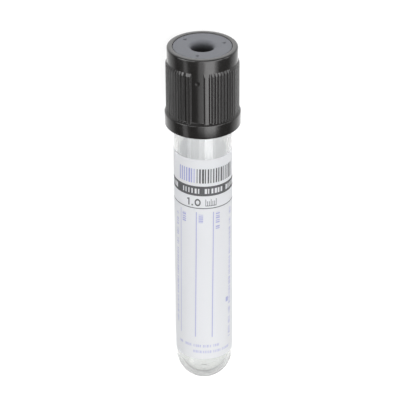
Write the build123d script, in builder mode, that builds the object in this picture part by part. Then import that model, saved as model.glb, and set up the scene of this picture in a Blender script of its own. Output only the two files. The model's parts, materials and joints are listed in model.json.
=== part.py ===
from build123d import *

import os
from math import asin, atan2, cos, degrees, hypot, radians, sin

# A 13 x 75 mm evacuated blood collection tube: a clear round-bottomed tube with a wrapped
# film label, and a closure of a rubber stopper held in a ribbed plastic cap shell.
#
# Every piece is drawn upright on the tube's own axis, with the pole of the round bottom at
# the origin and the closure above, and is laid down on its side by the last section.
# Sizes are in millimetres and angles in degrees.

# ---------------------------------------------------------------- driving dimensions

# Tube: one injection moulding with a hemispherical bottom
tube_length = 75.0
tube_radius = 6.4
tube_wall = 1.0
base_thickness = 1.25
rim_chamfer = 0.25
gate_radius = 1.3
gate_depth = 0.25

# Label: a thin film, wrapped once round the tube with its end lapped over its start
label_above_dome = 1.4
bare_neck = 5.95
film_thickness = 0.06
lap_start = 119.5
lap_angle = 45.0

# Cap shell, outside
cap_above_rim = 9.0
cap_below_rim = 9.55
skirt_wall = 0.905
collar_height = 3.2
flange_reach = 0.615
flange_height = 3.05
flange_shoulder = 0.7
foot_chamfer = 0.35
top_chamfer = 0.35
lip_edge_chamfer = 0.15
seam_direction = 7.6

# Cap shell, grip: tapered ribs, and one smooth panel between two wide pads
rib_height = 0.3
rib_root_depth = 0.13
rib_root_width = 0.66
rib_side_angle = 68.0
rib_spacing = 0.745
rib_foot_depth = 0.3
rib_runout = 0.7
pad_side_round = 0.3
pad_width = 1.25
panel_direction = -98.3
panel_width = 2.7
dimple_radius = 0.5
dimple_depth = 0.06
dimple_below_top = 5.5

# Cap shell, inside
lip_depth = 3.5
lip_overlap = 0.55
bead_height = 0.9
mouth_chamfer = 0.4

# Stopper: one rubber moulding
stopper_recess = 0.08
shoulder_reach = 0.65
head_edge_chamfer = 0.12
well_radius = 2.45
well_mouth_chamfer = 0.5
well_depth = 5.2
pit_from_edge = 1.42
pit_radius = 0.27
pit_depth = 0.3
pit_count = 3
first_pit_direction = 18.0
plug_length = 8.5
plug_end_chamfer = 0.6
plug_wall = 2.2
plug_hollow_chamfer = 0.4
septum_thickness = 3.4

# Clearances between pieces
skirt_clearance = 0.41
bead_clearance = 0.3
pocket_clearance = 0.05
head_clearance = 0.06
plug_clearance = 0.03

# ---------------------------------------------------------------- sizes that follow

bore_radius = tube_radius - tube_wall
inner_pole = base_thickness
inner_centre = inner_pole + bore_radius

cap_top = tube_length + cap_above_rim
cap_bottom = tube_length - cap_below_rim
skirt_radius = tube_radius + skirt_clearance
bead_radius = tube_radius + bead_clearance
bead_bottom = tube_length - bead_height
shoulder_radius = tube_radius + shoulder_reach
pocket_radius = shoulder_radius + pocket_clearance
lip_opening_radius = shoulder_radius - lip_overlap
lip_bottom = cap_top - lip_depth
collar_radius = skirt_radius + skirt_wall
collar_bottom = cap_top - collar_height
flange_radius = collar_radius + flange_reach
flange_top = cap_bottom + flange_height
shoulder_top = flange_top + flange_shoulder

film_radius = tube_radius + film_thickness
label_bottom = tube_radius + label_above_dome
label_top = cap_bottom - bare_neck

stopper_top = cap_top - stopper_recess
head_radius = lip_opening_radius - head_clearance
plug_radius = bore_radius - plug_clearance
plug_end = tube_length - plug_length
plug_hollow_radius = plug_radius - plug_wall
well_floor = cap_top - well_depth
plug_hollow_top = well_floor - septum_thickness

# ---------------------------------------------------------------- tube

with BuildPart() as tube:
    with BuildSketch(Plane.XZ):
        with BuildLine():
            CenterArc((0, tube_radius), tube_radius, 270, 90)
            Polyline(
                (tube_radius, tube_radius),
                (tube_radius, tube_length),
                (bore_radius, tube_length),
                (bore_radius, inner_centre),
            )
            CenterArc((0, inner_centre), bore_radius, 270, 90)
            Line((0, inner_pole), (0, 0))
        make_face()
    revolve(axis=Axis.Z)
    chamfer(tube.faces().sort_by(Axis.Z)[-1].edges(), length=min(rim_chamfer, 0.45 * tube_wall))
    # Mark of the moulding gate, a shallow round recess at the pole
    with BuildSketch(Plane.XY):
        Circle(gate_radius)
    extrude(amount=gate_depth, mode=Mode.SUBTRACT)

tube.part.label = "tube"

# ---------------------------------------------------------------- label

with BuildPart() as label:
    with BuildSketch(Plane.XY.offset(label_bottom)):
        Circle(film_radius)
        Circle(tube_radius, mode=Mode.SUBTRACT)
        # The lapped end, a second layer over a short arc
        with BuildLine():
            outer_lap = CenterArc(
                (0, 0), film_radius + film_thickness, lap_start, lap_angle
            )
            inner_lap = CenterArc(
                (0, 0), film_radius - film_thickness / 2, lap_start, lap_angle
            )
            Line(outer_lap @ 0, inner_lap @ 0)
            Line(outer_lap @ 1, inner_lap @ 1)
        make_face()
    extrude(amount=label_top - label_bottom)

label.part.label = "label"

# ---------------------------------------------------------------- cap shell


def angle_of(arc_length):
    """Angle that an arc of this length takes up on the collar."""
    return degrees(arc_length / collar_radius)


rib_tip_radius = collar_radius + rib_height
rib_depth = rib_height + rib_root_depth
rib_middle_radius = rib_tip_radius - rib_depth / 2
pad_middle_radius = rib_tip_radius - pad_side_round
pad_arc = angle_of(pad_width - 2 * pad_side_round)
grip_edge = angle_of(panel_width / 2 + pad_width + rib_spacing / 2)
rib_count = int((360 - 2 * grip_edge) / angle_of(rib_spacing))
rib_pitch = (360 - 2 * grip_edge) / rib_count
rib_bottom = flange_top - rib_foot_depth

# The grip's ribs and pads. They stand in the flange's shoulder, and run out at the top in a
# cone to the smooth collar, which gives each its scalloped end.
with BuildPart() as grip:
    with BuildSketch(Plane.XY.offset(rib_bottom)):
        with PolarLocations(
            rib_middle_radius,
            rib_count,
            start_angle=panel_direction + grip_edge + rib_pitch / 2,
            angular_range=(rib_count - 1) * rib_pitch,
            endpoint=True,
        ):
            Trapezoid(rib_root_width, rib_depth, rib_side_angle, rotation=-90)
        for side in (-1, 1):
            pad_direction = panel_direction + side * angle_of((panel_width + pad_width) / 2)
            SlotArc(
                CenterArc((0, 0), pad_middle_radius, pad_direction - pad_arc / 2, pad_arc),
                height=2 * pad_side_round,
            )
    extrude(amount=collar_bottom + rib_runout - rib_bottom)
    with BuildSketch(Plane.XZ):
        with BuildLine():
            Polyline(
                (rib_tip_radius, collar_bottom - rib_runout),
                (collar_radius - rib_height, collar_bottom + rib_runout),
                (collar_radius - rib_height, collar_bottom + 2 * rib_runout),
                (flange_radius, collar_bottom + 2 * rib_runout),
                (flange_radius, collar_bottom - rib_runout),
                close=True,
            )
        make_face()
    revolve(axis=Axis.Z, mode=Mode.SUBTRACT)

# The shell without its grip, a section turned round the axis
with BuildPart() as round_shell:
    with BuildSketch(Plane.XZ):
        with BuildLine():
            Polyline(
                (collar_radius, cap_top),
                (collar_radius, shoulder_top),
                (flange_radius, flange_top),
                (flange_radius, cap_bottom),
                (skirt_radius, cap_bottom),
                (skirt_radius, bead_bottom - (skirt_radius - bead_radius)),
                (bead_radius, bead_bottom),
                (bead_radius, tube_length),
                (pocket_radius, tube_length),
                (pocket_radius, lip_bottom),
                (lip_opening_radius, lip_bottom),
                (lip_opening_radius, cap_top),
                close=True,
            )
        make_face()
    revolve(axis=Axis.Z)
    foot_edges = round_shell.edges().filter_by(GeomType.CIRCLE).group_by(Axis.Z)[0]
    chamfer(foot_edges.sort_by(SortBy.RADIUS)[-1], length=foot_chamfer)
    chamfer(foot_edges.sort_by(SortBy.RADIUS)[0], length=mouth_chamfer)
    top_edges = round_shell.edges().filter_by(GeomType.CIRCLE).group_by(Axis.Z)[-1]
    chamfer(top_edges.sort_by(SortBy.RADIUS)[-1], length=top_chamfer)
    chamfer(top_edges.sort_by(SortBy.RADIUS)[0], length=lip_edge_chamfer)

with BuildPart() as cap_shell:
    # Its round faces start and end at the seam's direction
    add(round_shell.part, rotation=(0, 0, seam_direction))
    add(grip.part)
    # Shallow round dimple in the middle of the smooth panel, a segment of a sphere
    dimple_sphere_radius = (dimple_radius**2 + dimple_depth**2) / (2 * dimple_depth)
    dimple_centre = collar_radius - dimple_depth + dimple_sphere_radius
    with Locations(
        (
            dimple_centre * cos(radians(panel_direction)),
            dimple_centre * sin(radians(panel_direction)),
            cap_top - dimple_below_top,
        )
    ):
        Sphere(dimple_sphere_radius, mode=Mode.SUBTRACT)

cap_shell.part.label = "cap_shell"

# ---------------------------------------------------------------- stopper

with BuildPart() as stopper:
    with BuildSketch(Plane.XZ):
        with BuildLine():
            Polyline(
                (0, well_floor),
                (well_radius, well_floor),
                (well_radius, stopper_top),
                (head_radius, stopper_top),
                (head_radius, lip_bottom),
                (shoulder_radius, lip_bottom),
                (shoulder_radius, tube_length),
                (plug_radius, tube_length),
                (plug_radius, plug_end),
                (plug_hollow_radius, plug_end),
                (plug_hollow_radius, plug_hollow_top),
                (0, plug_hollow_top),
                close=True,
            )
        make_face()
    revolve(axis=Axis.Z)
    face_edges = stopper.edges().filter_by(GeomType.CIRCLE).group_by(Axis.Z)[-1]
    chamfer(face_edges.sort_by(SortBy.RADIUS)[0], length=well_mouth_chamfer)
    chamfer(face_edges.sort_by(SortBy.RADIUS)[-1], length=head_edge_chamfer)
    end_edges = stopper.edges().filter_by(GeomType.CIRCLE).group_by(Axis.Z)[0]
    chamfer(end_edges.sort_by(SortBy.RADIUS)[-1], length=plug_end_chamfer)
    chamfer(end_edges.sort_by(SortBy.RADIUS)[0], length=plug_hollow_chamfer)
    with BuildSketch(Plane.XY.offset(stopper_top)):
        with PolarLocations(
            head_radius - pit_from_edge, pit_count, start_angle=first_pit_direction
        ):
            Circle(pit_radius)
    extrude(amount=-pit_depth, mode=Mode.SUBTRACT)

stopper.part.label = "stopper"

# ---------------------------------------------------------------- laying the tube down

# The floor touches the upper corner of the flange's foot chamfer, and either the round bottom
# or the label's lower edge. Seen from the side it is a line through that corner and tangent
# to the bottom's circle, or through the label's edge. The tube comes to rest on the one that
# leaves the smaller slope between the floor and the axis.
foot_height = cap_bottom + foot_chamfer
foot_distance = foot_height - tube_radius
angle_on_dome = degrees(
    atan2(flange_radius, foot_distance)
    - asin(tube_radius / hypot(flange_radius, foot_distance))
)
angle_on_label = degrees(atan2(flange_radius - film_radius, foot_height - label_bottom))
rest_angle = min(angle_on_dome, angle_on_label)

# The axis turns to +Y, with the closure end raised by the rest angle and the smooth panel's
# side on top. The origin is below the middle of the whole, on the floor.
pieces = (tube, label, cap_shell, stopper)
turn = Rotation(rest_angle - 90, 0, 0)
turned_box = Compound(children=[turn * piece.part for piece in pieces]).bounding_box()
shift = Pos(-turned_box.center().X, -turned_box.center().Y, -turned_box.min.Z)

os.makedirs("parts", exist_ok=True)
for piece in pieces:
    laid = shift * turn * piece.part
    laid.label = piece.part.label
    export_step(laid, f"parts/{piece.part.label}.step")

pole = (shift * turn).position
print(f"rest angle {rest_angle:.4f}, pole at Y {pole.Y:.5f}, Z {pole.Z:.5f}")
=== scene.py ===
"""A capped blood collection tube lying on a pale floor, seen from above its closure."""

import json
import math

import bpy
from mathutils import Matrix, Vector


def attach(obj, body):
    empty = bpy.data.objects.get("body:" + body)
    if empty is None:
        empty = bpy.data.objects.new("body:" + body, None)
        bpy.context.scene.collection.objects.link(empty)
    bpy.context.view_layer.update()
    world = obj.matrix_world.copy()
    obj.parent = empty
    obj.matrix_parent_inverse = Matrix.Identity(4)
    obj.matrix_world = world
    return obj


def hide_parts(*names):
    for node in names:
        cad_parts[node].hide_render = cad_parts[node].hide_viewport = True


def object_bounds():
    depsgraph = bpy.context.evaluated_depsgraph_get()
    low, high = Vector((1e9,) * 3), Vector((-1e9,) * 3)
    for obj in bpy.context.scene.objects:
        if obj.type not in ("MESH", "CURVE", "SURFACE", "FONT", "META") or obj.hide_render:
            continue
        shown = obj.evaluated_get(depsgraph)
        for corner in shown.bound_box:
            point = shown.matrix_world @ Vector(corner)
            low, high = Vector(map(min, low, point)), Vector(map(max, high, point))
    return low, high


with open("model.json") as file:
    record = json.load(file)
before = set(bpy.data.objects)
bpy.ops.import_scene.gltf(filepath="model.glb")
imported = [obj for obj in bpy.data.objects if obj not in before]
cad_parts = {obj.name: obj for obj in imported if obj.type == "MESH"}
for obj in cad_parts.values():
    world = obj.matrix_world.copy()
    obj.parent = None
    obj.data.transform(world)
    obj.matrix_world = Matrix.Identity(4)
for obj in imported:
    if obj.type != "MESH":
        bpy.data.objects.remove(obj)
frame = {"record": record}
cad_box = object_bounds()

# ---------------------------------------------------------------- sizes

# Sizes are in millimetres and angles in degrees, as in the CAD model. Heights run along the
# tube's own axis, from the pole of its round bottom. Directions go round the axis: 0 is the
# upper side of the lying tube, and they grow towards +X.
MM = 0.001

TUBE_LENGTH = 75.0
TUBE_RADIUS = 6.4
BORE_RADIUS = 5.4
BASE_THICKNESS = 1.25
RIM_ROUND = 0.3
GATE_RADIUS = 1.3
GATE_DEPTH = 0.25

FILM = 0.06
LABEL_BOTTOM = 7.8
LABEL_TOP = 59.5
LAP_START = -150.5
LAP_ANGLE = 45.0
LAP_CLIMB = 4.0

CAP_TOP = 84.0
CAP_BOTTOM = 65.45
COLLAR_RADIUS = 7.715
COLLAR_BOTTOM = 80.8
FLANGE_RADIUS = 8.33
FLANGE_TOP = 68.5
SHOULDER_TOP = 69.2
SKIRT_RADIUS = 6.81
BEAD_RADIUS = 6.7
BEAD_BOTTOM = 74.1
POCKET_RADIUS = 7.1
LIP_RADIUS = 6.5
LIP_BOTTOM = 80.5

RIB_HEIGHT = 0.3
RIB_RUNOUT = 0.7
RIB_SPACING = 0.745
RIB_HALF_FOOT = 0.3
RIB_HALF_TIP = 0.14
PANEL_DIRECTION = -8.3
PANEL_WIDTH = 2.7
PAD_WIDTH = 1.25
PAD_SIDE = 0.16
DIMPLE_RADIUS = 0.5
DIMPLE_DEPTH = 0.06
DIMPLE_HEIGHT = 78.5

STOPPER_TOP = 83.92
HEAD_RADIUS = 6.44
SHOULDER_RADIUS = 7.05
WELL_RADIUS = 2.45
WELL_DEPTH = 5.2
PIT_CIRCLE = 5.02
PIT_RADIUS = 0.48
PIT_DEPTH = 0.7
PIT_DIRECTIONS = (108.0, 228.0, 348.0)
WELL_MOUTH_ROUND = 0.95
# How far down the needle well the rubber's painted shade reaches.
WELL_SHADE_DEPTH = 2.8
PLUG_RADIUS = 5.37
PLUG_END = 66.5
PLUG_HOLLOW_RADIUS = 3.17
PLUG_HOLLOW_TOP = 75.4


def placement():
    """The matrix from the upright tube, in millimetres, to the lying one, in metres."""
    well = next(m for m in frame["record"]["mounts"] if m["name"] == "needle_well")
    axis = Vector(well["axis"]).normalized()
    upper = Vector((0, -axis.z, axis.y))
    well_middle = CAP_TOP - WELL_DEPTH + well["dims"]["length_mm"] / 2
    pole = Vector(well["pos_m"]) - axis * well_middle * MM
    turn = Matrix((Vector((1, 0, 0)), -upper, axis)).transposed().to_4x4()
    return Matrix.Translation(pole) @ turn @ Matrix.Scale(MM, 4)


LAID = placement()

# ---------------------------------------------------------------- mesh helpers


def spot(direction, radius, height):
    """A point of the upright tube, in millimetres."""
    angle = math.radians(direction)
    return (radius * math.sin(angle), -radius * math.cos(angle), height)


def smooth_step(x):
    """0 below 0 and 1 above 1, with a smooth rise between."""
    x = min(max(x, 0.0), 1.0)
    return x * x * (3 - 2 * x)


def turns(count):
    """Directions of so many columns of points, evenly round the axis."""
    return [360.0 * k / count for k in range(count)]


def rounded(corners, steps=6):
    """An outline of (radius, height) from corners (radius, height, rounding)."""
    outline = []
    for k, (radius, height, rounding) in enumerate(corners):
        corner = Vector((radius, height))
        if rounding == 0:
            outline.append(tuple(corner))
            continue
        back = (Vector(corners[k - 1][:2]) - corner).normalized()
        on = (Vector(corners[(k + 1) % len(corners)][:2]) - corner).normalized()
        half = back.angle(on) / 2
        centre = corner + (back + on).normalized() * rounding / math.sin(half)
        first = corner + back * rounding / math.tan(half) - centre
        sweep = math.pi - 2 * half
        if back.x * on.y - back.y * on.x > 0:
            sweep = -sweep
        for step in range(steps + 1):
            outline.append(tuple(centre + Matrix.Rotation(sweep * step / steps, 2) @ first))
    return outline


def skin(rings, loop=False):
    """Points and faces of a surface through rings. A ring of one point is a pole."""
    points, starts = [], []
    for ring in rings:
        starts.append(len(points))
        points.extend(ring)
    pairs = list(zip(range(len(rings)), range(1, len(rings))))
    if loop:
        pairs.append((len(rings) - 1, 0))
    faces = []
    for a, b in pairs:
        count = max(len(rings[a]), len(rings[b]))
        for k in range(count):
            n = (k + 1) % count
            lower = [starts[a]] if len(rings[a]) == 1 else [starts[a] + k, starts[a] + n]
            upper = [starts[b]] if len(rings[b]) == 1 else [starts[b] + n, starts[b] + k]
            faces.append(lower + upper)
    return points, faces


def lathe(outline, count):
    """Points and faces of an outline turned round the axis."""
    rings = []
    for radius, height in outline:
        directions = turns(count) if radius > 1e-6 else [0.0]
        rings.append([spot(d, radius, height) for d in directions])
    return skin(rings)


def add_piece(name, points, faces, material, body, node, sharp=40.0):
    """A smooth piece that rides on a body and stands for its CAD node."""
    mesh = bpy.data.meshes.new(name)
    mesh.from_pydata([LAID @ Vector(p) for p in points], [], faces)
    mesh.polygons.foreach_set("use_smooth", [True] * len(mesh.polygons))
    mesh.set_sharp_from_angle(angle=math.radians(sharp))
    mesh.materials.append(material)
    piece = bpy.data.objects.new(name, mesh)
    bpy.context.scene.collection.objects.link(piece)
    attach(piece, body)
    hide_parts(node)
    return piece


# ---------------------------------------------------------------- material helpers


class Shader:
    """A material's nodes, made by short calls. Values are numbers or sockets."""

    def __init__(self, name):
        self.material = bpy.data.materials.new(name)
        self.material.use_nodes = True
        self.tree = self.material.node_tree
        self.surface = self.tree.nodes["Principled BSDF"]
        self.output = self.tree.nodes["Material Output"]

    def node(self, kind, **values):
        """A node of that kind, with its inputs set or linked by name."""
        node = self.tree.nodes.new(kind)
        for name, value in values.items():
            self.put(node.inputs[name.replace("_", " ")], value)
        return node

    def put(self, socket, value):
        """Sets an input to a number or a colour, or links a socket to it."""
        if isinstance(value, bpy.types.NodeSocket):
            self.tree.links.new(value, socket)
        else:
            socket.default_value = value

    def math(self, operation, a, b=0.0):
        """The output of a math node."""
        node = self.tree.nodes.new("ShaderNodeMath")
        node.operation = operation
        self.put(node.inputs[0], a)
        self.put(node.inputs[1], b)
        return node.outputs[0]

    def mix(self, factor, a, b):
        """The output of a colour mix."""
        node = self.tree.nodes.new("ShaderNodeMix")
        node.data_type = "RGBA"
        self.put(node.inputs["Factor"], factor)
        self.put(node.inputs["A"], a)
        self.put(node.inputs["B"], b)
        return node.outputs["Result"]

    def noise(self, scale, detail=2.0, stretch=(1.0, 1.0, 1.0)):
        """Noise over the piece, in object coordinates of the frame."""
        place = self.tree.nodes.new("ShaderNodeTexCoord").outputs["Object"]
        mapping = self.node("ShaderNodeMapping", Vector=place, Scale=stretch)
        texture = self.node("ShaderNodeTexNoise", Vector=mapping.outputs[0], Scale=scale, Detail=detail)
        return texture.outputs["Fac"]

    def along(self, low, high):
        """0 to 1 between two heights along the tube's axis."""
        axis = Vector(LAID.col[2][:3])
        start = LAID @ Vector((0, 0, low))
        place = self.tree.nodes.new("ShaderNodeTexCoord").outputs["Object"]
        away = self.node("ShaderNodeVectorMath", Vector=place)
        away.operation = "DOT_PRODUCT"
        away.inputs[1].default_value = axis / (axis.length_squared * (high - low))
        offset = start.dot(axis) / (axis.length_squared * (high - low))
        return self.math("SUBTRACT", away.outputs["Value"], offset)

    def spread(self, value, low, high):
        """A 0 to 1 value spread over a range."""
        node = self.node("ShaderNodeMapRange", Value=value, To_Min=low, To_Max=high)
        return node.outputs["Result"]

    def bump(self, height, distance, strength=1.0):
        """Bump of so many millimetres, from a 0 to 1 height."""
        node = self.node("ShaderNodeBump", Height=height, Strength=strength)
        node.inputs["Distance"].default_value = distance * MM
        self.put(self.surface.inputs["Normal"], node.outputs[0])


# ---------------------------------------------------------------- tube

# The absorption is a density, per metre, times what its colour lacks. Where a lamp's light goes
# straight through, each surface lets the colour SHINE_THROUGH pass.
ABSORPTION = 115.0
ABSORPTION_COLOUR = (0.51, 0.515, 0.505, 1)
SHINE_THROUGH = (0.967, 0.97, 0.967, 1)


def clear_plastic():
    """Clear moulded plastic: it refracts and absorbs a little, and lamps shine through it."""
    shader = Shader("clear_plastic")
    surface = shader.surface
    uneven = shader.spread(shader.noise(60.0), 0.85, 1.15)
    tint = shader.math("MULTIPLY", shader.along(5.0, 60.0), uneven)
    surface.inputs["Transmission Weight"].default_value = 0.92
    surface.inputs["IOR"].default_value = 1.5
    colour = shader.mix(tint, (0.98, 0.99, 0.98, 1), (0.985, 0.99, 0.985, 1))
    shader.put(surface.inputs["Base Color"], colour)
    shader.put(surface.inputs["Roughness"], shader.spread(shader.noise(240.0), 0.03, 0.08))
    shader.bump(shader.noise(180.0, 1.0, (1.0, 0.25, 1.0)), 0.02, 0.35)
    path = shader.tree.nodes.new("ShaderNodeLightPath")
    clear = shader.node("ShaderNodeBsdfTransparent", Color=SHINE_THROUGH)
    unseen = shader.math("MAXIMUM", path.outputs["Is Shadow Ray"], path.outputs["Is Diffuse Ray"])
    blend = shader.node("ShaderNodeMixShader", Fac=unseen)
    shader.put(blend.inputs[1], surface.outputs[0])
    shader.put(blend.inputs[2], clear.outputs[0])
    shader.put(shader.output.inputs["Surface"], blend.outputs[0])
    inside = shader.node("ShaderNodeVolumeAbsorption", Color=ABSORPTION_COLOUR, Density=ABSORPTION)
    shader.put(shader.output.inputs["Volume"], inside.outputs[0])
    return shader.material


def dome(centre, radius, start_radius, steps):
    """The outline of a round bottom, from a radius out to the wall."""
    start = math.asin(start_radius / radius)
    angles = [start + (math.pi / 2 - start) * k / steps for k in range(steps + 1)]
    return [(radius * math.sin(a), centre - radius * math.cos(a)) for a in angles]


def tube_outline():
    """From the gate mark's dish up the outside, over the rim and down the bore."""
    outer = dome(TUBE_RADIUS, TUBE_RADIUS, GATE_RADIUS, 36)
    rim = rounded(
        [
            (TUBE_RADIUS, LABEL_TOP, 0),
            (TUBE_RADIUS, TUBE_LENGTH, RIM_ROUND),
            (BORE_RADIUS, TUBE_LENGTH, RIM_ROUND),
            (BORE_RADIUS, LABEL_TOP, 0),
        ]
    )
    inner = dome(BASE_THICKNESS + BORE_RADIUS, BORE_RADIUS, 0.0, 30)
    gate = [
        (0.0, GATE_DEPTH),
        (0.35, GATE_DEPTH),
        (GATE_RADIUS - 0.12, GATE_DEPTH - 0.01),
        (GATE_RADIUS - 0.03, GATE_DEPTH - 0.05),
    ]
    return gate + outer + rim + inner[::-1]


def add_tube():
    """The clear tube."""
    points, faces = lathe(tube_outline(), 192)
    return add_piece("tube_clear", points, faces, clear_plastic(), "tube_body", "tube")


# ---------------------------------------------------------------- label

# The print is placed on the flat label: u is millimetres round it from direction 0, and v is the
# height. It is bands, rules, bars and a plain number, with no words.
INK_DARK = (0.115, 0.115, 0.12, 1)
INK_VIOLET = (0.42, 0.43, 0.76, 1)
PAPER = (0.93, 0.933, 0.948, 1)
PAPER_SHADE = (0.915, 0.918, 0.933, 1)
FILM_TRANSLUCENCY = 0.7
PRINT_SKEW = 0.0143
PRINT_MIDDLE = 30.0
FORM_BOTTOM = 13.7
FORM_TOP = 46.4
RULE_HALF_WIDTH = 0.11
CODE_BOTTOM = 53.7
CODE_TOP = 57.2
CODE_PITCH = 0.62
FIGURE_BOTTOM = 47.95
ROUND_LABEL = (-30.0, 30.0)


class Print:
    """Marks of ink on the label, each a 0 to 1 mask made by math nodes.

    The print sits a little askew on the film, turned by PRINT_SKEW about PRINT_MIDDLE.
    """

    def __init__(self, shader):
        self.shader = shader
        map_node = shader.tree.nodes.new("ShaderNodeUVMap")
        map_node.uv_map = "flat_label"
        flat = shader.node("ShaderNodeSeparateXYZ", Vector=map_node.outputs[0])
        u, v = flat.outputs[0], flat.outputs[1]
        rise = shader.math("MULTIPLY", shader.math("SUBTRACT", v, PRINT_MIDDLE), PRINT_SKEW)
        self.u = shader.math("SUBTRACT", u, rise)
        self.v = shader.math("ADD", v, shader.math("MULTIPLY", u, PRINT_SKEW))

    def between(self, value, low, high):
        """1 where a value is in a range."""
        above = self.shader.math("GREATER_THAN", value, low)
        return self.shader.math("MULTIPLY", above, self.shader.math("LESS_THAN", value, high))

    def field(self, u_low, u_high, v_low, v_high):
        """A filled rectangle."""
        across = self.between(self.u, u_low, u_high)
        return self.shader.math("MULTIPLY", across, self.between(self.v, v_low, v_high))

    def together(self, masks):
        """All of some marks."""
        whole = masks[0]
        for mask in masks[1:]:
            whole = self.shader.math("MAXIMUM", whole, mask)
        return whole

    def ring(self, u, v, half_width, half_height, line):
        """The outline of an upright oval."""
        x = self.shader.math("DIVIDE", self.shader.math("SUBTRACT", self.u, u), half_width)
        y = self.shader.math("DIVIDE", self.shader.math("SUBTRACT", self.v, v), half_height)
        squares = self.shader.math("MULTIPLY", x, x)
        squares = self.shader.math("ADD", squares, self.shader.math("MULTIPLY", y, y))
        away = self.shader.math("SQRT", squares)
        share = line / half_width
        return self.between(away, 1 - share, 1.0)

    def ticks(self, along, pitch, seed, thin, thick):
        """Bars side by side along an axis, each of its own width."""
        shader = self.shader
        place = shader.math("DIVIDE", along, pitch)
        cell = shader.math("FLOOR", place)
        chance = shader.tree.nodes.new("ShaderNodeTexWhiteNoise")
        chance.noise_dimensions = "1D"
        shader.put(chance.inputs["W"], shader.math("ADD", cell, seed))
        width = shader.spread(chance.outputs["Value"], thin, thick)
        return shader.math("LESS_THAN", shader.math("FRACT", place), width)

    def small_row(self, along, across, start, end, middle, height, seed, letter=0.55, word=3.1):
        """A row of short bars in groups, in place of small print.

        The bars' pitch is letter, and the groups' pitch is word.
        """
        inside = self.between(across, middle - height / 2, middle + height / 2)
        row = self.shader.math("MULTIPLY", self.between(along, start, end), inside)
        bars = self.ticks(along, letter, seed, 0.35, 0.8)
        groups = self.ticks(along, word, seed + 7.5, 0.6, 0.97)
        return self.shader.math("MULTIPLY", row, self.shader.math("MULTIPLY", bars, groups))


def label_film():
    """White film with a soft sheen, and its print."""
    shader = Shader("label_film")
    ink = Print(shader)
    u, v = ink.u, ink.v

    def rule(at):
        return ink.field(at - RULE_HALF_WIDTH, at + RULE_HALF_WIDTH, FORM_BOTTOM, FORM_TOP)

    def code(left, right, seed):
        bars = ink.ticks(u, CODE_PITCH, seed, 0.3, 0.75)
        return shader.math("MULTIPLY", ink.field(left, right, CODE_BOTTOM, CODE_TOP), bars)

    form = [
        rule(-1.8),
        rule(2.05),
        ink.small_row(v, u, 43.0, FORM_TOP, -4.85, 1.0, 2.0),
        ink.small_row(v, u, 43.7, FORM_TOP, -0.8, 1.0, 5.0),
        ink.small_row(v, u, 41.9, FORM_TOP, 3.1, 1.0, 9.0),
        ink.field(5.7, 6.5, 21.9, 23.1),
    ]
    faint = [
        rule(-5.85),
        ink.small_row(v, u, 12.0, 46.2, 7.1, 0.85, 12.0, 0.42, 2.6),
        ink.small_row(v, u, 16.0, 45.0, -7.1, 0.75, 14.0, 0.42, 2.6),
        ink.small_row(u, v, -6.4, 3.8, 11.3, 0.68, 17.0, 0.4, 2.3),
        ink.small_row(u, v, -2.8, 7.2, 9.75, 0.68, 21.0, 0.4, 2.3),
    ]
    form = shader.math("MULTIPLY", ink.together(form), 0.8)
    faint = shader.math("MULTIPLY", ink.together(faint), 0.6)
    violet = ink.together([form, faint, code(-6.6, -2.3, 31.0)])

    band = ink.field(*ROUND_LABEL, 50.5, 52.9)
    gaps = ink.small_row(u, v, *ROUND_LABEL, 51.7, 1.25, 3.0, 0.75, 5.2)
    figure = [
        ink.field(-3.75, -3.45, FIGURE_BOTTOM, 49.75),
        ink.field(-4.05, -3.45, 49.35, 49.65),
        ink.field(-2.95, -2.6, FIGURE_BOTTOM, 48.3),
        ink.ring(-1.55, 48.85, 0.68, 0.92, 0.28),
    ]
    scale = [ink.field(0.2, 2.72, FIGURE_BOTTOM, 48.1)]
    for k in range(7):
        top = 49.2 if k % 3 else 49.7
        scale.append(ink.field(0.2 + 0.4 * k, 0.32 + 0.4 * k, FIGURE_BOTTOM, top))
    rest = [
        ink.field(*ROUND_LABEL, 47.3, 47.5),
        code(-1.8, 7.6, 44.0),
        shader.math("SUBTRACT", band, gaps),
    ]
    dark = ink.together(figure + scale + rest)

    paper = shader.mix(shader.noise(90.0, 3.0), PAPER_SHADE, PAPER)
    worn = shader.noise(2500.0, 2.0)
    violet = shader.math("MULTIPLY", violet, shader.spread(worn, 0.75, 1.0))
    dark = shader.math("MULTIPLY", dark, shader.spread(worn, 0.85, 1.0))
    printed = shader.mix(dark, shader.mix(violet, paper, INK_VIOLET), INK_DARK)
    shader.put(shader.surface.inputs["Base Color"], printed)
    shader.put(shader.surface.inputs["Roughness"], shader.spread(shader.noise(700.0), 0.38, 0.5))
    shader.bump(shader.noise(1400.0, 2.0), 0.004, 0.4)
    through = shader.node("ShaderNodeBsdfTranslucent", Color=printed)
    blend = shader.node("ShaderNodeMixShader", Fac=FILM_TRANSLUCENCY)
    shader.put(blend.inputs[1], shader.surface.outputs[0])
    shader.put(blend.inputs[2], through.outputs[0])
    shader.put(shader.output.inputs["Surface"], blend.outputs[0])
    return shader.material


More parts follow.
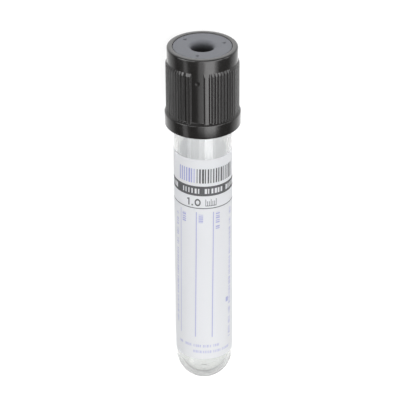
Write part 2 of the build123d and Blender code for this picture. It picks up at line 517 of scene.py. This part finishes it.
def add_label():
    """The film, one turn round the tube and a lap that climbs over its own start."""
    step = 2.0
    count = round((360 + LAP_ANGLE) / step)
    heights = (LABEL_BOTTOM, LABEL_BOTTOM, LABEL_TOP, LABEL_TOP)
    stations, flat = [], []
    for k in range(count + 1):
        direction = LAP_START + step * k
        climb = FILM * smooth_step((direction - (LAP_START + 360)) / LAP_CLIMB + 1.0)
        inner = TUBE_RADIUS + climb
        radii = (inner, inner + FILM, inner + FILM, inner)
        stations.append([spot(direction, radius, height) for radius, height in zip(radii, heights)])
        around = math.radians(direction) * (TUBE_RADIUS + FILM)
        flat += [(around, height) for height in heights]
    points, faces = skin(stations)
    last = len(points) - 4
    ends = [[0, 1, 2, 3], [last + 3, last + 2, last + 1, last]]
    faces = [face[::-1] for face in faces] + ends
    label = add_piece("label_film", points, faces, label_film(), "tube_body", "label")

    # The print is on the outside. The inner faces are mapped far below it, where there is none.
    layer = label.data.uv_layers.new(name="flat_label")
    for face in label.data.polygons:
        inward = face.index < 4 * count and face.index % 4 == 3
        for loop in face.loop_indices:
            around, height = flat[label.data.loops[loop].vertex_index]
            layer.data[loop].uv = (around, height - 2 * LABEL_TOP if inward else height)
    return label


# ---------------------------------------------------------------- cap shell

# The rows of points round an edge lie this far from it. The panel's columns take up this share of
# its width, so they stop short of the pads' feet.
ROW_MARGIN = 0.1
PANEL_COLUMNS = 23
PANEL_SHARE = 0.96


def black_plastic():
    """Black moulded plastic with a soft gloss and faint flow marks along the ribs."""
    shader = Shader("black_plastic")
    cloud = shader.noise(160.0, 3.0)
    black = shader.mix(cloud, (0.0062, 0.0058, 0.0055, 1), (0.0105, 0.0098, 0.0093, 1))
    shader.put(shader.surface.inputs["Base Color"], black)
    shader.put(shader.surface.inputs["Roughness"], shader.spread(shader.noise(900.0, 3.0), 0.17, 0.25))
    shader.surface.inputs["IOR"].default_value = 1.58
    shader.bump(shader.noise(2600.0, 3.0, (1.0, 0.35, 1.0)), 0.002, 0.3)
    return shader.material


def arc_angle(length):
    """The angle that an arc of that length takes up on the collar."""
    return math.degrees(length / COLLAR_RADIUS)


def raised(middle, half_foot, half_tip, tip_columns):
    """Columns of points over a rib or a pad: (direction, rise), with rise 1 on its tip."""
    found = []
    for k in range(5):
        share = k / 4
        away = half_foot + (half_tip - half_foot) * share
        for side in (-1, 1):
            found.append((middle + arc_angle(side * away), smooth_step(share)))
    for k in range(1, tip_columns + 1):
        away = half_tip * (2 * k / (tip_columns + 1) - 1)
        found.append((middle + arc_angle(away), 1.0))
    return found


def cap_columns():
    """The directions of the cap's columns of points, each with its rise."""
    grip_edge = arc_angle(PANEL_WIDTH / 2 + PAD_WIDTH + RIB_SPACING / 2)
    rib_count = int((360 - 2 * grip_edge) / arc_angle(RIB_SPACING))
    pitch = (360 - 2 * grip_edge) / rib_count
    found = []
    for k in range(rib_count):
        middle = PANEL_DIRECTION + grip_edge + (k + 0.5) * pitch
        found += raised(middle, RIB_HALF_FOOT, RIB_HALF_TIP, 1)
        found.append((middle + pitch / 2, 0.0))
    for side in (-1, 1):
        middle = PANEL_DIRECTION + side * arc_angle((PANEL_WIDTH + PAD_WIDTH) / 2)
        found += raised(middle, PAD_WIDTH / 2, PAD_WIDTH / 2 - PAD_SIDE, 5)
    for k in range(PANEL_COLUMNS):
        away = PANEL_WIDTH * (k / (PANEL_COLUMNS - 1) - 0.5) * PANEL_SHARE
        found.append((PANEL_DIRECTION + arc_angle(away), 0.0))
    return sorted(found)


def steps_between(low, high, count):
    """Heights from low up to high, without the last."""
    return [low + (high - low) * k / count for k in range(count)]


def cap_side_rows():
    """Heights of the cap's rows of points, from the flange up to the collar."""
    flange = FLANGE_TOP - ROW_MARGIN
    shoulder = SHOULDER_TOP + ROW_MARGIN
    dimple = DIMPLE_HEIGHT - DIMPLE_RADIUS - ROW_MARGIN
    runout = COLLAR_BOTTOM - RIB_RUNOUT - ROW_MARGIN
    collar = COLLAR_BOTTOM + ROW_MARGIN
    return (
        steps_between(flange, shoulder, 22)
        + steps_between(shoulder, dimple, 3)
        + steps_between(dimple, runout, 17)
        + steps_between(runout, collar, 14)
        + [collar]
    )


def cap_radius(direction, rise, height):
    """The outer radius of the cap's ribbed side."""
    flare = 1 - smooth_step((height - FLANGE_TOP) / (SHOULDER_TOP - FLANGE_TOP))
    base = COLLAR_RADIUS + (FLANGE_RADIUS - COLLAR_RADIUS) * flare
    run = (COLLAR_BOTTOM - height) / RIB_RUNOUT
    tip = COLLAR_RADIUS + RIB_HEIGHT * min(rise, max(run, 0.0))
    across = math.radians(direction - PANEL_DIRECTION) * COLLAR_RADIUS
    away = math.hypot(across, height - DIMPLE_HEIGHT) / DIMPLE_RADIUS
    dent = DIMPLE_DEPTH * max(0.0, 1 - away * away)
    return max(base, tip) - dent


def cap_inner_outline():
    """From the collar over the top, down the lip, the pocket and the skirt to the foot.

    The first and last corners are the side's own last and first rows, so they are left out.
    """
    outline = rounded(
        [
            (COLLAR_RADIUS, COLLAR_BOTTOM + ROW_MARGIN, 0),
            (COLLAR_RADIUS, CAP_TOP, 0.38),
            (LIP_RADIUS, CAP_TOP, 0.16),
            (LIP_RADIUS, LIP_BOTTOM, 0.1),
            (POCKET_RADIUS, LIP_BOTTOM, 0.1),
            (POCKET_RADIUS, TUBE_LENGTH, 0.1),
            (BEAD_RADIUS, TUBE_LENGTH, 0.1),
            (BEAD_RADIUS, BEAD_BOTTOM, 0.1),
            (SKIRT_RADIUS, BEAD_BOTTOM - 0.15, 0.1),
            (SKIRT_RADIUS, CAP_BOTTOM, 0.4),
            (FLANGE_RADIUS, CAP_BOTTOM, 0.38),
            (FLANGE_RADIUS, FLANGE_TOP - ROW_MARGIN, 0),
        ],
        5,
    )
    return outline[1:-1]


def add_cap():
    """The cap shell: its ribbed side, and the top and inside as one closed skin."""
    columns = cap_columns()
    rings = []
    for height in cap_side_rows():
        rings.append([spot(d, cap_radius(d, rise, height), height) for d, rise in columns])
    for radius, height in cap_inner_outline():
        rings.append([spot(d, radius, height) for d, rise in columns])
    points, faces = skin(rings, loop=True)
    return add_piece("cap_moulding", points, faces, black_plastic(), "closure", "cap_shell", 50.0)


# ---------------------------------------------------------------- stopper


def grey_rubber():
    """Matt cool grey rubber with a fine powdery bloom, darkened down the needle well by painted shade.
    """
    shader = Shader("grey_rubber")
    bloom = shader.noise(420.0, 4.0)
    speck = shader.noise(3200.0, 2.0)
    grey = shader.mix(bloom, (0.127, 0.132, 0.149, 1), (0.158, 0.164, 0.181, 1))
    bloomed = shader.mix(shader.spread(speck, 0.0, 0.25), grey, (0.21, 0.217, 0.236, 1))
    # Painted shade: the rubber's colour goes nearly black down the needle well, where shade falls in
    # the recess.
    height = shader.along(STOPPER_TOP - WELL_SHADE_DEPTH, STOPPER_TOP)
    height = shader.math("MINIMUM", shader.math("MAXIMUM", height, 0.0), 1.0)
    unshaded_share = shader.math("MULTIPLY", height, height)
    colour = shader.mix(unshaded_share, (0.005, 0.005, 0.006, 1), bloomed)
    shader.put(shader.surface.inputs["Base Color"], colour)
    shader.put(shader.surface.inputs["Roughness"], shader.spread(bloom, 0.62, 0.78))
    shader.bump(speck, 0.012, 0.5)
    return shader.material


def stopper_outline():
    """From the well's floor up, over the head and down the plug to its hollow.

    The rings lie close together on the part of the face that has the pits.
    """
    face, ring_step = 4.45, 0.07
    outline = rounded(
        [
            (0.0, CAP_TOP - WELL_DEPTH, 0),
            (WELL_RADIUS, CAP_TOP - WELL_DEPTH, 0.4),
            (WELL_RADIUS, STOPPER_TOP, WELL_MOUTH_ROUND),
            (face, STOPPER_TOP, 0),
        ],
        10,
    )
    outline += [(face + ring_step * k, STOPPER_TOP) for k in range(1, 17)]
    outline += rounded(
        [
            (face + ring_step * 17, STOPPER_TOP, 0),
            (HEAD_RADIUS, STOPPER_TOP, 0.14),
            (HEAD_RADIUS, LIP_BOTTOM, 0.1),
            (SHOULDER_RADIUS, LIP_BOTTOM, 0.15),
            (SHOULDER_RADIUS, TUBE_LENGTH, 0.15),
            (PLUG_RADIUS, TUBE_LENGTH, 0.15),
            (PLUG_RADIUS, PLUG_END, 0.7),
            (PLUG_HOLLOW_RADIUS, PLUG_END, 0.45),
            (PLUG_HOLLOW_RADIUS, PLUG_HOLLOW_TOP, 0.5),
            (0.0, PLUG_HOLLOW_TOP, 0),
        ]
    )
    return outline


def pit(point):
    """The point of the stopper's face, lowered where a small pit is."""
    x, y, height = point
    if height < STOPPER_TOP - 1e-6:
        return point
    for direction in PIT_DIRECTIONS:
        pit_x, pit_y, _ = spot(direction, PIT_CIRCLE, 0.0)
        away = math.hypot(x - pit_x, y - pit_y) / PIT_RADIUS
        height -= PIT_DEPTH * (1 - smooth_step(away))
    return (x, y, height)


def add_stopper():
    """The rubber stopper, with its needle well and three small pits."""
    points, faces = lathe(stopper_outline(), 360)
    points = [pit(p) for p in points]
    return add_piece("stopper_rubber", points, faces, grey_rubber(), "closure", "stopper")


add_tube()
add_label()
add_cap()
add_stopper()

# ---------------------------------------------------------------- floor and light

# The floor is white to the camera, with a share of its own shading, which keeps the shadow. In
# what reflects it and in what shows it through the plastic, it gets dimmer away from the tube.
# Levels are those beside the tube, and reaches are in metres.
FLOOR_SIDE = 6.0
SHOWN_LEVEL = 1.12
SHOWN_SHARE = 0.7
REFLECTED_LEVEL = 1.8
REFLECTED_REACH = 0.042
REFRACTED_LEVEL = 0.82
REFRACTED_REACH = 0.055
FALL_POWER = 1.5


def beside_tube(shader):
    """How far, in metres, the floor is from the strip that the tube lies on.

    The strip is as wide as the tube, and goes from the round bottom on past the closure.
    """
    place = shader.tree.nodes.new("ShaderNodeNewGeometry").outputs["Position"]
    parts = shader.node("ShaderNodeSeparateXYZ", Vector=place)
    across = shader.math("SUBTRACT", shader.math("ABSOLUTE", parts.outputs[0]), TUBE_RADIUS * MM)
    across = shader.math("MAXIMUM", across, 0.0)
    before = shader.math("SUBTRACT", cad_box[0][1], parts.outputs[1])
    before = shader.math("MAXIMUM", before, 0.0)
    squares = shader.math("MULTIPLY", across, across)
    squares = shader.math("ADD", squares, shader.math("MULTIPLY", before, before))
    return shader.math("SQRT", squares)


def pale_floor():
    """A white floor that keeps its shadow, and gets dimmer with distance in what shows it."""
    shader = Shader("pale_floor")
    shader.put(shader.surface.inputs["Base Color"], (0.9, 0.9, 0.9, 1))
    shader.surface.inputs["Roughness"].default_value = 0.8
    shader.surface.inputs["Specular IOR Level"].default_value = 0.1
    path = shader.tree.nodes.new("ShaderNodeLightPath")
    shown = path.outputs["Is Camera Ray"]
    refracted = path.outputs["Is Transmission Ray"]
    away = beside_tube(shader)
    # The floor's glow is painted light: in reflections it shines up to REFLECTED_LEVEL beside the tube,
    # brighter than white, and through the plastic it shows at REFRACTED_LEVEL; both fade with distance
    # from the tube.
    fall = shader.math("ADD", shader.math("DIVIDE", away, REFLECTED_REACH), 1.0)
    in_gloss = shader.math("DIVIDE", REFLECTED_LEVEL, shader.math("POWER", fall, FALL_POWER))
    fall = shader.math("POWER", shader.math("DIVIDE", away, REFRACTED_REACH), FALL_POWER)
    in_plastic = shader.math("DIVIDE", REFRACTED_LEVEL, shader.math("ADD", fall, 1.0))
    level = shader.spread(shown, shader.spread(refracted, in_gloss, in_plastic), SHOWN_LEVEL)
    glow = shader.node("ShaderNodeEmission", Color=(1, 1, 1, 1), Strength=level)
    share = shader.math("MULTIPLY", shown, SHOWN_SHARE)
    share = shader.math("MAXIMUM", share, refracted)
    share = shader.math("MAXIMUM", share, path.outputs["Is Glossy Ray"])
    blend = shader.node("ShaderNodeMixShader", Fac=share)
    shader.put(blend.inputs[1], shader.surface.outputs[0])
    shader.put(blend.inputs[2], glow.outputs[0])
    shader.put(shader.output.inputs["Surface"], blend.outputs[0])
    return shader.material


def add_floor():
    """A large square floor under the tube."""
    half = FLOOR_SIDE / 2
    mesh = bpy.data.meshes.new("floor")
    corners = [(-half, -half, 0), (half, -half, 0), (half, half, 0), (-half, half, 0)]
    mesh.from_pydata(corners, [], [(0, 1, 2, 3)])
    mesh.materials.append(pale_floor())
    floor = bpy.data.objects.new("floor", mesh)
    bpy.context.scene.collection.objects.link(floor)


# Each softbox: the way to it, how far off it is, its width, its length and its power in watts.
# Lengths are in metres.
SOFTBOXES = {
    "overhead_wide": ((0.288, -0.365, 0.886), 0.7, 0.776, 0.29, 0.99),
    "overhead": ((0.368, -0.365, 0.855), 0.7, 0.383, 0.29, 0.87),
    "left_strip": ((-0.712, -0.49, 0.49), 0.7, 0.16, 0.4, 0.25),
    "key": ((0.45, 0.2, 0.87), 0.8, 1.1, 0.6, 7.1),
    "left_side": ((-1.0, 0.2, 0.45), 0.8, 0.4, 0.6, 1.8),
    "left_fill": ((-0.65, 0.3, 0.7), 0.8, 0.6, 0.5, 2.7),
    "right_fill": ((1.0, 0.15, 0.08), 0.8, 0.4, 0.5, 1.6),
}
SKY_LOW = 0.09
SKY_HIGH = 0.36


def add_softbox(name, direction, distance, width, length, power):
    """A rectangular lamp that faces the tube, with its length in line with Y."""
    light = bpy.data.lights.new(name, "AREA")
    light.shape = "RECTANGLE"
    light.size = width
    light.size_y = length
    light.energy = power
    lamp = bpy.data.objects.new(name, light)
    away = Vector(direction).normalized()
    lamp.location = away * distance
    across = Vector((0, 1, 0)).cross(away).normalized()
    turn = Matrix((across, away.cross(across), away)).transposed()
    lamp.rotation_mode = "QUATERNION"
    lamp.rotation_quaternion = turn.to_quaternion()
    bpy.context.scene.collection.objects.link(lamp)


def add_sky():
    """A soft sky, brighter on the closure's side, and white to the camera."""
    world = bpy.data.worlds.new("studio")
    world.use_nodes = True
    tree = world.node_tree
    sky = tree.nodes["Background"]
    sky.inputs["Color"].default_value = (1, 1, 1, 1)
    ways = tree.nodes.new("ShaderNodeTexCoord")
    parts = tree.nodes.new("ShaderNodeSeparateXYZ")
    tree.links.new(ways.outputs["Generated"], parts.inputs[0])
    level = tree.nodes.new("ShaderNodeMapRange")
    level.inputs["From Min"].default_value = -0.5
    level.inputs["From Max"].default_value = 0.5
    level.inputs["To Min"].default_value = SKY_LOW
    level.inputs["To Max"].default_value = SKY_HIGH
    tree.links.new(parts.outputs["Y"], level.inputs["Value"])
    path = tree.nodes.new("ShaderNodeLightPath")
    shown = tree.nodes.new("ShaderNodeMapRange")
    shown.inputs["To Max"].default_value = 1.0
    tree.links.new(path.outputs["Is Camera Ray"], shown.inputs["Value"])
    tree.links.new(level.outputs["Result"], shown.inputs["To Min"])
    tree.links.new(shown.outputs["Result"], sky.inputs["Strength"])
    bpy.context.scene.world = world


add_floor()
for name, values in SOFTBOXES.items():
    add_softbox(name, *values)
add_sky()

# ---------------------------------------------------------------- camera

# The eye looks at a point of the tube's axis, from above the lying tube's upper side and
# towards its closure's end.
EYE_DISTANCE = 492.3
EYE_ELEVATION = 29.305
EYE_ROLL = -0.434
AIM_HEIGHT = 45.963
AIM_ACROSS = -0.738
SENSOR = 36.0
LENS = 198.66


def add_camera():
    """The camera, placed round the upright tube and laid down with it."""
    tilt = math.radians(EYE_ELEVATION)
    back = Vector((0, -math.cos(tilt), math.sin(tilt)))
    right = Vector((1, 0, 0))
    up = back.cross(right)
    turn = Matrix((right, up, back)).transposed().to_4x4()
    roll = Matrix.Rotation(math.radians(EYE_ROLL), 4, "Z")
    eye = Vector((AIM_ACROSS, 0, AIM_HEIGHT)) + back * EYE_DISTANCE
    place = LAID @ Matrix.Translation(eye) @ turn @ roll
    camera = bpy.data.objects.new("camera", bpy.data.cameras.new("camera"))
    camera.data.sensor_width = SENSOR
    camera.data.lens = LENS
    camera.data.clip_start = 0.01
    camera.data.clip_end = 10.0
    camera.matrix_world = Matrix.LocRotScale(place.translation, place.to_quaternion(), None)
    bpy.context.scene.collection.objects.link(camera)
    bpy.context.scene.camera = camera


add_camera()
bpy.context.scene.view_settings.view_transform = "Standard"
